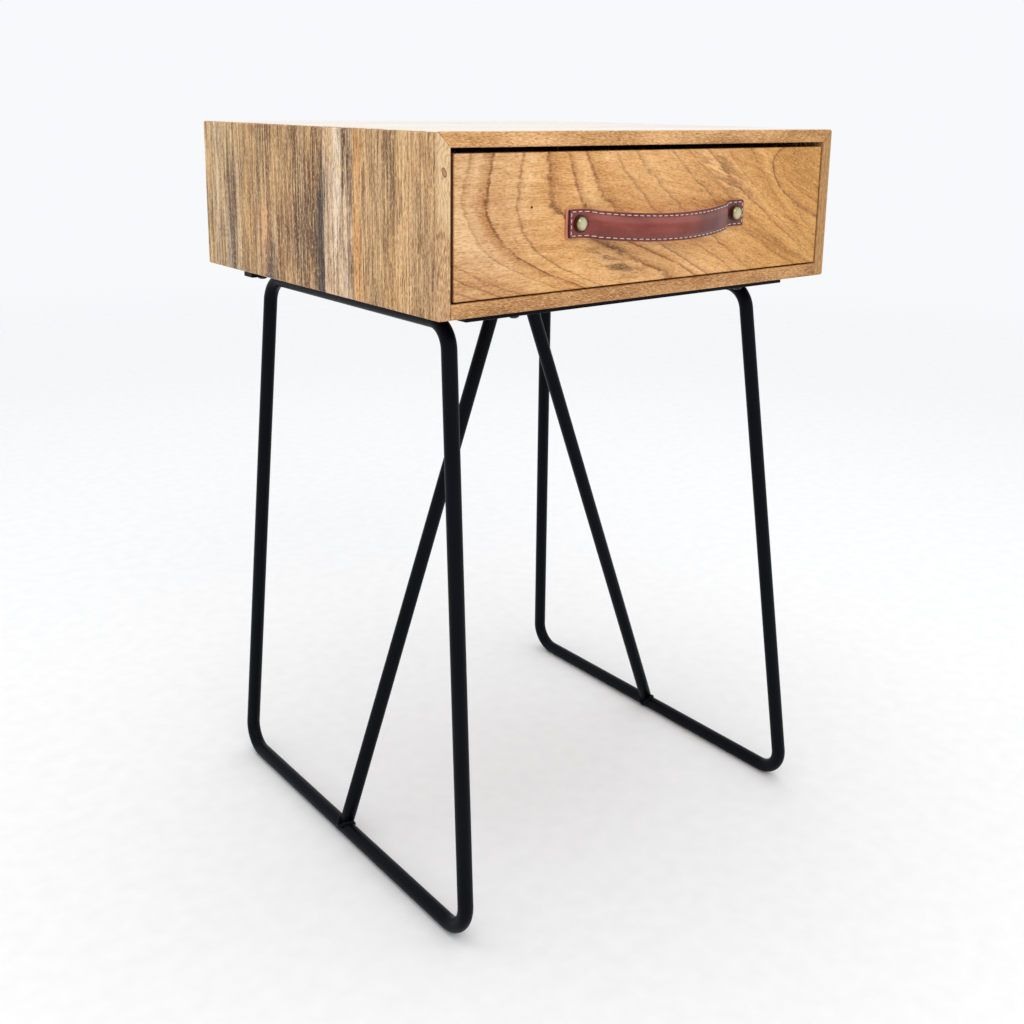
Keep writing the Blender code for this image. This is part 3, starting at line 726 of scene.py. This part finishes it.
# ---- mesh helpers
def piece(name, verts, faces, material, body, replaced=(), slot=None, attributes=None):
    """A shaded-smooth mesh that rides on a body and may stand for CAD nodes."""
    mesh = bpy.data.meshes.new(name)
    mesh.from_pydata([tuple(v) for v in verts], [], faces)
    mesh.validate()
    mesh.shade_smooth()
    for key, values in (attributes or {}).items():
        layer = mesh.attributes.new(key, "FLOAT", "POINT")
        layer.data.foreach_set("value", np.asarray(values, np.float32))
    mesh.materials.append(material)
    obj = bpy.data.objects.new(name, mesh)
    bpy.context.scene.collection.objects.link(obj)
    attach(obj, body)
    if replaced:
        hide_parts(*replaced)


def wall(rings, sides, closed=False):
    """Quads between successive rings of points, with both ends capped unless it is closed."""
    faces = []
    for i in range(rings if closed else rings - 1):
        here, beyond = i * sides, (i + 1) % rings * sides
        for k in range(sides):
            n = (k + 1) % sides
            faces.append((here + k, here + n, beyond + n, beyond + k))
    if not closed:
        faces.append(tuple(reversed(range(sides))))
        faces.append(tuple(range((rings - 1) * sides, rings * sides)))
    return faces


def tube(path, radius, sides, closed=False, up=None):
    """Points and faces of a tube along a path. radius: a number or a function (i, angle)."""
    count = len(path)
    verts = []
    side = None
    for i, here in enumerate(path):
        before = path[i - 1] if (i or closed) else here
        after = path[(i + 1) % count] if (i < count - 1 or closed) else here
        ahead = (after - before).normalized()
        if up is not None:
            side = Vector(up)
        elif side is None:
            side = ahead.orthogonal()
        side = (side - ahead * side.dot(ahead)).normalized()
        other = ahead.cross(side)
        for k in range(sides):
            angle = 2 * math.pi * k / sides
            reach = radius(i, angle) if callable(radius) else radius
            verts.append(here + (side * math.cos(angle) + other * math.sin(angle)) * reach)
    return verts, wall(count, sides, closed)


def joined(parts):
    """One list of points and faces from several."""
    verts, faces = [], []
    for some_verts, some_faces in parts:
        start = len(verts)
        verts += some_verts
        faces += [tuple(i + start for i in face) for face in some_faces]
    return verts, faces


# ---- leather pull
BOW_SPAN = 0.081               # half the length that stands off the drawer
BOW_SAG = 0.0049                # how far its middle hangs below its ends
BOW_EASE = 0.16                 # share of each half over which the bow turns out of its tab
LINING_T = 0.0012
LINING_GAP = 0.0003             # behind the lining
LINING_EDGE_R = 0.0004
LEATHER_T = 0.0019
LEATHER_EDGE_R = 0.0007
CORNER_R = 0.0012               # the strap's corners, seen from in front
PAD_RISE = 0.0014               # stuffing between the two rows of stitches
STITCH_INSET = 0.0017           # from the leather's edge to the stitches
STITCH_RISE = 0.00018
STITCH_PITCH = 0.0055
STITCH_LONG = 0.0041
END_PITCH = 0.0043              # of the stitches across the strap's ends
END_LONG = 0.0032
THREAD_R = 0.00036
RIVET_H = 0.0032                # from the rivet's seat to the top of its dome
RIVET_RIM = 0.0005

face_y = front_low.y
stud_boxes = [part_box("handle_stud_" + side) for side in ("left", "right")]
stud_x = (stud_boxes[1][0].x + stud_boxes[1][1].x) / 2
stud_z = (stud_boxes[1][0].z + stud_boxes[1][1].z) / 2
stud_r = (stud_boxes[1][1].x - stud_boxes[1][0].x) / 2
bow_reach = (lining_high.y - lining_low.y) - LINING_T
lining_half = Vector((lining_high.x, 0, (lining_high.z - stud_z)))
leather_half = Vector((leather_high.x, 0, (leather_high.z - stud_z)))
LEATHER_IN = LINING_GAP + LINING_T + 0.00004
LEATHER_OUT = LEATHER_IN + LEATHER_T


def smooth(value, start, end):
    """0 at start and 1 at end, smooth between."""
    t = min(max((value - start) / (end - start), 0.0), 1.0)
    return t * t * (3 - 2 * t)


def hump(value, centre, width):
    """1 at the centre, falling off on both sides."""
    return math.exp(-((value - centre) / width) ** 2)


def bow(x):
    """How far the strap is bowed at x, from 0 at its tabs to 1 in the middle."""
    t = min(abs(x) / BOW_SPAN, 1.0)
    ease = min((1 - t) / BOW_EASE, 1.0)
    return (1 - t * t) * ease * ease * (3 - 2 * ease)


def strap_frame(x):
    """Where the strap's back line runs at x, and which way its face looks."""
    slope = (bow(x + 1e-5) - bow(x - 1e-5)) / 2e-5 * bow_reach
    outward = Vector((slope, -1.0, 0.0)).normalized()
    return Vector((x, face_y - bow_reach * bow(x), stud_z - BOW_SAG * bow(x))), outward


def strap_point(x, v, offset):
    """A point x along the strap, v above its middle line and offset away from the drawer."""
    base, outward = strap_frame(x)
    return base + outward * offset + Vector((0.0, 0.0, v))


def leather_relief(x, v):
    """Height of the outer leather above its flat face: padding, stitch rows, stud dimples."""
    half, row = leather_half, leather_half.z - STITCH_INSET
    pad = smooth(abs(v), row - 0.0003, row - 0.0026) * (0.45 + 0.55 * (1 - (v / row) ** 2))
    pad *= smooth(abs(x), stud_x - 0.0066, stud_x - 0.0115)
    rise = PAD_RISE * pad
    end = half.x - STITCH_INSET
    if abs(x) < end + 0.0004:
        rise -= 0.0003 * hump(abs(v), row, 0.00055)
    if abs(v) < row + 0.0004:
        rise -= 0.00026 * hump(abs(x), end, 0.00055)
    from_stud = math.hypot(abs(x) - stud_x, v)
    rise -= 0.0004 * hump(from_stud, stud_r - 0.0002, 0.0011)
    rise += 0.00022 * hump(from_stud, stud_r + 0.0024, 0.0012)
    rise += 0.00035 * smooth(from_stud, stud_r + 0.0006, stud_r - 0.0004)
    return rise


def setback(to_end, r):
    """How far a corner of radius r has pulled back this near to the strap's end."""
    return r - math.sqrt(max(r ** 2 - max(r - to_end, 0) ** 2, 0.0))


def strap_section(x, top, low, high, edge_r, relief):
    """The band's outline at x as (v, offset, rim): outer face, lower edge, back, upper edge."""
    rows, arc_steps = 44, 5
    r = min(edge_r, (high - low) / 2)
    flat = top - r
    face = [flat * (1 - 2 * k / rows) for k in range(rows + 1)]

    def quarter(v, offset, first, quarters, rim):
        for k in range(first, arc_steps):
            a = math.pi / 2 * (quarters + k / arc_steps)
            section.append((v + r * math.cos(a), offset + r * math.sin(a), rim(k / arc_steps)))

    section = [(v, high + (relief(x, v) if relief else 0.0), 0.0) for v in face]
    quarter(-flat, high - r, 1, 1, lambda share: share)
    quarter(-flat, low + r, 0, 2, lambda share: 1.0)
    section += [(-v, low, 0.3) for v in face]
    quarter(flat, low + r, 1, 3, lambda share: 1.0)
    quarter(flat, high - r, 0, 4, lambda share: 1 - share)
    return section


def strap_layer(name, half, inner, outer, edge_r, relief, material, node):
    """A band of leather with rounded edges and ends, bent along the strap."""
    count = int(half.x * 2 / 0.0007)
    tips = (0.0, 0.00012, 0.0003)
    xs = [tip - half.x for tip in tips]
    xs += [-half.x + half.x * 2 * i / count for i in range(1, count)]
    xs += [half.x - tip for tip in reversed(tips)]
    verts, along_v, across_v, rim_v = [], [], [], []
    for x in xs:
        to_end = half.x - abs(x)
        pulled = setback(to_end, edge_r)
        section = strap_section(x, half.z - setback(to_end, CORNER_R), inner + pulled * 0.6,
                                outer - pulled, edge_r, relief)
        for v, offset, rim in section:
            verts.append(strap_point(x, v, offset))
            along_v.append(x)
            across_v.append(v)
            rim_v.append(max(rim, smooth(to_end, 0.0004, 0.0001)))
    faces = wall(len(xs), len(verts) // len(xs))
    faces = [tuple(reversed(face)) for face in faces]
    piece(name, verts, faces, material, "drawer", (node,), node,
          {"along": along_v, "across": across_v, "rim": rim_v})


def stitch(start, end, back=False):
    """One stitch of two-ply thread between two holes, each (x, v), on the strap's face or back."""
    steps, sides = 12, 8
    path, normal = [], None
    for i in range(steps + 1):
        t = i / steps
        x = start[0] + (end[0] - start[0]) * t
        v = start[1] + (end[1] - start[1]) * t
        arch = math.sin(math.pi * t) ** 0.45
        if back:
            offset = LINING_GAP - STITCH_RISE * arch + 0.0006 * (1 - arch)
        else:
            offset = LEATHER_OUT + leather_relief(x, v) + STITCH_RISE * arch - 0.0007 * (1 - arch)
        path.append(strap_point(x, v, offset))
        if i == steps // 2:
            normal = strap_frame(x)[1]

    def ply(i, angle):
        taper = 0.8 + 0.2 * math.sin(math.pi * i / steps) ** 0.5
        return THREAD_R * taper * (0.86 + 0.2 * abs(math.cos(angle - i * 0.62)))

    return tube(path, ply, sides, up=normal)


def stitching():
    """Stitches along both edges and across both ends; the bowed part has them on its back too."""
    row, end = leather_half.z - STITCH_INSET, leather_half.x - STITCH_INSET
    marks, run, step = [-end], [0.0], 0.0002
    while marks[-1] < end - 1e-9:
        length = (strap_frame(marks[-1] + step)[0] - strap_frame(marks[-1])[0]).length
        marks.append(marks[-1] + step)
        run.append(run[-1] + length)
    count = round(run[-1] / STITCH_PITCH)
    pitch = run[-1] / count
    parts = []

    def place(distance):
        """Where on x the strap has run this far from its left end stitches."""
        return float(np.interp(distance, run, marks))

    for v in (row, -row):
        for i in range(count):
            middle = pitch * (i + 0.5)
            lean = random.uniform(-0.00012, 0.00012)
            ends = ((place(middle - STITCH_LONG / 2), v - lean),
                    (place(middle + STITCH_LONG / 2), v + lean))
            parts.append(stitch(*ends))
            if abs(place(middle)) < BOW_SPAN - 0.012:
                parts.append(stitch(*ends, back=True))
    count = round(2 * row / END_PITCH)
    pitch = 2 * row / count
    for x in (-end, end):
        for i in range(count):
            middle = -row + pitch * (i + 0.5)
            lean = random.uniform(-0.0001, 0.0001)
            parts.append(stitch((x - lean, middle - END_LONG / 2),
                                (x + lean, middle + END_LONG / 2)))
    piece("handle_stitching", *joined(parts), thread_finish(), "drawer")


def rivet(side, x, box):
    """A domed rivet head, lightly planished, with its barrel through the leather."""
    low, high = box
    seat = low.y + RIVET_H
    barrel_r, bore_r, barrel_end = 0.0025, 0.0008, -(high.y - seat)
    steps, sides = 14, 64
    profile = []
    for i in range(steps + 1):
        a = math.pi / 2 * i / steps
        profile.append((stud_r * math.sin(a) ** 0.92,
                        RIVET_RIM + (RIVET_H - RIVET_RIM) * math.cos(a) ** 0.85))
    profile[0] = (0.00001, RIVET_H)
    profile += [(stud_r, 0.0003), (stud_r - 0.0003, 0.0), (barrel_r, 0.0),
                (barrel_r, barrel_end), (bore_r, barrel_end)]
    verts, proud = [], []
    for r, h in profile:
        for k in range(sides):
            a = 2 * math.pi * k / sides
            dent = 0.0
            if h > 0.0006 and r > 0.0001:
                dent = 0.00002 * math.sin(3 * a + 900 * r + x * 90) * math.sin(2 * a - 1500 * r)
            verts.append((x + r * math.cos(a), seat - h - dent, stud_z + r * math.sin(a)))
            proud.append(min(max(h / RIVET_H, 0), 1))
    node = "handle_stud_" + side
    piece("handle_rivet_" + side, verts, wall(len(profile), sides), BRASS, "drawer", (node,), node,
          {"proud": proud})


LEATHER, LINING, BRASS = leather_finish(), lining_finish(), brass_finish()
strap_layer("handle_leather", leather_half, LEATHER_IN, LEATHER_OUT, LEATHER_EDGE_R,
            leather_relief, LEATHER, "handle_strap")
strap_layer("handle_lining", lining_half, LINING_GAP, LINING_GAP + LINING_T, LINING_EDGE_R,
            None, LINING, "handle_backing")
stitching()
for side, sign, box in zip(("left", "right"), (-1, 1), stud_boxes):
    rivet(side, sign * stud_x, box)

# ---- rod base
ROD_R = 0.006
BEND_R = 0.022
CORNER_FRONT_FLOOR = -0.1847    # rod corners before bending, from the case's centre
CORNER_REAR_FLOOR = 0.1689
CORNER_FRONT_TOP = -0.1276
CORNER_REAR_TOP = 0.1433
BRACE_TOP_X = 0.0107
BEAD_R = 0.0017                 # of a weld bead
BEAD_STEP = 0.00035
WELD_PLACES = (-0.088, 0.0, 0.092)  # along each loop's top, from the case's centre
WELD_HALF = 0.009
WELD_APART = 0.0034             # from the rod's middle line to the bead on either side

case_y = (CASE_FRONT + CASE_BACK) / 2
loop_low, loop_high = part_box("right_leg_loop")
floor_x, top_x = loop_high.x - ROD_R, loop_low.x + ROD_R
top_z = loop_high.z - ROD_R
under_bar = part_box("right_side_bar")[0].z


def bend(last, here, following):
    """The arc of BEND_R that turns the path at one corner."""
    steps = 24
    to_last, to_next = (last - here).normalized(), (following - here).normalized()
    half = to_last.angle(to_next) / 2
    centre = here + (to_last + to_next).normalized() * (BEND_R / math.sin(half))
    begin = here + to_last * (BEND_R / math.tan(half)) - centre
    finish = here + to_next * (BEND_R / math.tan(half)) - centre
    sweep = begin.angle(finish)
    arms = [begin * math.sin((1 - k / steps) * sweep) + finish * math.sin(k / steps * sweep)
            for k in range(steps + 1)]
    return [centre + arm / math.sin(sweep) for arm in arms]


def bent_path(corners):
    """A closed path through the corners, each turned on an arc."""
    arcs = [bend(corners[i - 1], corners[i], corners[(i + 1) % len(corners)])
            for i in range(len(corners))]
    path = []
    for arc, following in zip(arcs, arcs[1:] + arcs[:1]):
        steps = max(int((following[0] - arc[-1]).length / 0.02), 1)
        path += arc + [arc[-1].lerp(following[0], k / steps) for k in range(1, steps)]
    return path


def bead(path, closed=False):
    """A weld bead: overlapping ripples along its path."""
    fine = []
    for a, b in zip(path, path[1:] + ([path[0]] if closed else [])):
        steps = max(int((b - a).length / BEAD_STEP), 1)
        fine += [a.lerp(b, k / steps) for k in range(steps)]
    count = len(fine)

    def ripple(i, angle):
        ends = 1.0 if closed else min(1.0, 0.35 + i / 5, 0.35 + (count - 1 - i) / 5)
        wave = (i * 0.35 % 1.4) / 1.4
        return BEAD_R * ends * (0.9 + 0.16 * wave + 0.03 * math.sin(i * 1.7 + angle * 2))

    return tube(fine, ripple, 12, closed)


def weld_run(x, y, z):
    """A straight weld along the case, its middle at y."""
    steps = 6
    return bead([Vector((x, y - WELD_HALF + 2 * WELD_HALF * i / steps, z)) for i in range(steps + 1)])


def leg_loop(side, sign):
    """A closed loop of bent rod, with its welds to the bar above it."""
    corners = [Vector((sign * top_x, case_y + CORNER_FRONT_TOP, top_z)),
               Vector((sign * floor_x, case_y + CORNER_FRONT_FLOOR, ROD_R)),
               Vector((sign * floor_x, case_y + CORNER_REAR_FLOOR, ROD_R)),
               Vector((sign * top_x, case_y + CORNER_REAR_TOP, top_z))]
    plane = (corners[1] - corners[0]).cross(corners[2] - corners[0]).normalized()
    parts = [tube(bent_path(corners), ROD_R, 40, closed=True, up=plane)]
    for y in WELD_PLACES:
        for reach in (-WELD_APART, WELD_APART):
            parts.append(weld_run(sign * top_x + reach, case_y + y, under_bar - 0.0012))
    name = side + "_leg_loop"
    piece(side + "_bent_rod", *joined(parts), COAT, "table", (name,), name)


def brace(side, sign):
    """A straight rod from the runner's middle up to the centre crossbar, welded at both ends."""
    runner_y = case_y + (CORNER_FRONT_FLOOR + CORNER_REAR_FLOOR) / 2
    foot = Vector((sign * floor_x, runner_y, ROD_R))
    head = Vector((sign * BRACE_TOP_X, case_y, under_bar))
    up = (head - foot).normalized()
    right = up.orthogonal().normalized()
    other = up.cross(right)
    sides, rings = 40, 24

    def radial(angle, reach):
        return (right * math.cos(angle) + other * math.sin(angle)) * reach

    def at_foot(angle, reach, onto):
        """How far up the brace a line at this reach from its axis leaves a runner of radius onto."""
        out = radial(angle, reach)
        a = up.x ** 2 + up.z ** 2
        b = 2 * (up.x * out.x + up.z * out.z)
        c = out.x ** 2 + out.z ** 2 - onto ** 2
        inside = max(b * b - 4 * a * c, 0.0)
        return (-b + math.sqrt(inside)) / (2 * a)

    def at_head(angle, reach):
        """How far up the brace such a line meets the underside of the bar."""
        return (head.z - foot.z - radial(angle, reach).z) / up.z

    verts = []
    for i in range(rings + 1):
        for k in range(sides):
            angle = 2 * math.pi * k / sides
            low, high = at_foot(angle, ROD_R, ROD_R * 0.9), at_head(angle, ROD_R) - 0.0001
            verts.append(foot + radial(angle, ROD_R) + up * (low + (high - low) * i / rings))
    turns = [2 * math.pi * k / 72 for k in range(72)]
    reach = ROD_R + 0.0005
    foot_bead = [foot + radial(a, reach) + up * (at_foot(a, reach, ROD_R) + 0.0003) for a in turns]
    head_bead = [foot + radial(a, reach) + up * (at_head(a, reach) - 0.0006) for a in turns]
    parts = [(verts, wall(rings + 1, sides)), bead(foot_bead, closed=True),
             bead(head_bead, closed=True)]
    name = side + "_brace"
    piece(side + "_brace_rod", *joined(parts), COAT, "table", (name,), name)


for side, sign in (("left", -1), ("right", 1)):
    leg_loop(side, sign)
    brace(side, sign)

# ---- floor, light, camera
FLOOR_R = 4.0
FADE_START, FADE_END = 0.9, 3.4  # how far out the floor starts to fade, and is gone


def stage_floor():
    """A plain pale floor that fades away into the background."""
    bpy.ops.mesh.primitive_circle_add(vertices=96, radius=FLOOR_R, fill_type="NGON")
    floor = bpy.context.object
    floor.name = "studio_floor"
    f = Finish("studio_floor")
    fine = f.noise(f.x, f.y, f.z, 60, 2.0, 0.5)
    away = (f.x * f.x + f.y * f.y).power(0.5)
    f.set(Base_Color=fine.ramp((0.3, (236.15,) * 3), (0.7, (239.83,) * 3)),
          Roughness=fine * 0.1 + 0.62, Specular_IOR_Level=0.25, Alpha=away.rise(FADE_END, FADE_START))
    floor.data.materials.append(f.material)


def soft_light(name, size, power, place, aim, color):
    """A rectangular lamp of a size in metres and a power in watts, aimed at a point."""
    lamp = bpy.data.lights.new(name, "AREA")
    lamp.shape = "RECTANGLE"
    lamp.size, lamp.size_y = size
    lamp.energy = power
    lamp.color = color
    obj = bpy.data.objects.new(name, lamp)
    obj.location = place
    obj.rotation_euler = (Vector(aim) - Vector(place)).to_track_quat("-Z", "Y").to_euler()
    bpy.context.scene.collection.objects.link(obj)


def studio():
    """Pale surroundings, a key light in front and a softer one above."""
    world = bpy.data.worlds.new("studio")
    bpy.context.scene.world = world
    world.use_nodes = True
    sky = world.node_tree.nodes["Background"]
    sky.inputs["Color"].default_value = (0.935, 0.945, 0.965, 1.0)
    sky.inputs["Strength"].default_value = 1.0
    soft_light("key", size=(1.6, 1.2), power=12, place=(-0.6, -1.9, 2.1), aim=(0.0, 0.0, 0.45),
               color=(1.0, 0.98, 0.95))
    soft_light("top", size=(1.8, 1.8), power=15, place=(0.0, 0.2, 2.6), aim=(0.0, 0.0, 0.3),
               color=(1.0, 1.0, 1.0))


# The camera, fitted to the photo: lens in millimetres, shift as a share of the picture's width,
# angles in radians, and its place from the case's centre and the floor.
LENS, SHIFT = 41.4, -0.1387
TURN, TILT, ROLL = 0.67434, -0.22342, 0.01373
CAMERA_X, CAMERA_Y, CAMERA_Z = -0.64059, -0.80273, 0.61906


def camera():
    """Stands to the left of the table's front, just above its top."""
    view = bpy.data.cameras.new("camera")
    view.sensor_width = 36.0
    view.lens = LENS
    view.shift_y = SHIFT
    obj = bpy.data.objects.new("camera", view)
    obj.matrix_world = (Matrix.Translation((CAMERA_X, case_y + CAMERA_Y, CAMERA_Z))
                        @ Matrix.Rotation(-TURN, 4, "Z")
                        @ Matrix.Rotation(math.pi / 2 + TILT, 4, "X")
                        @ Matrix.Rotation(ROLL, 4, "Z"))
    bpy.context.scene.collection.objects.link(obj)
    bpy.context.scene.camera = obj


stage_floor()
studio()
camera()
bpy.context.scene.view_settings.view_transform = "Standard"
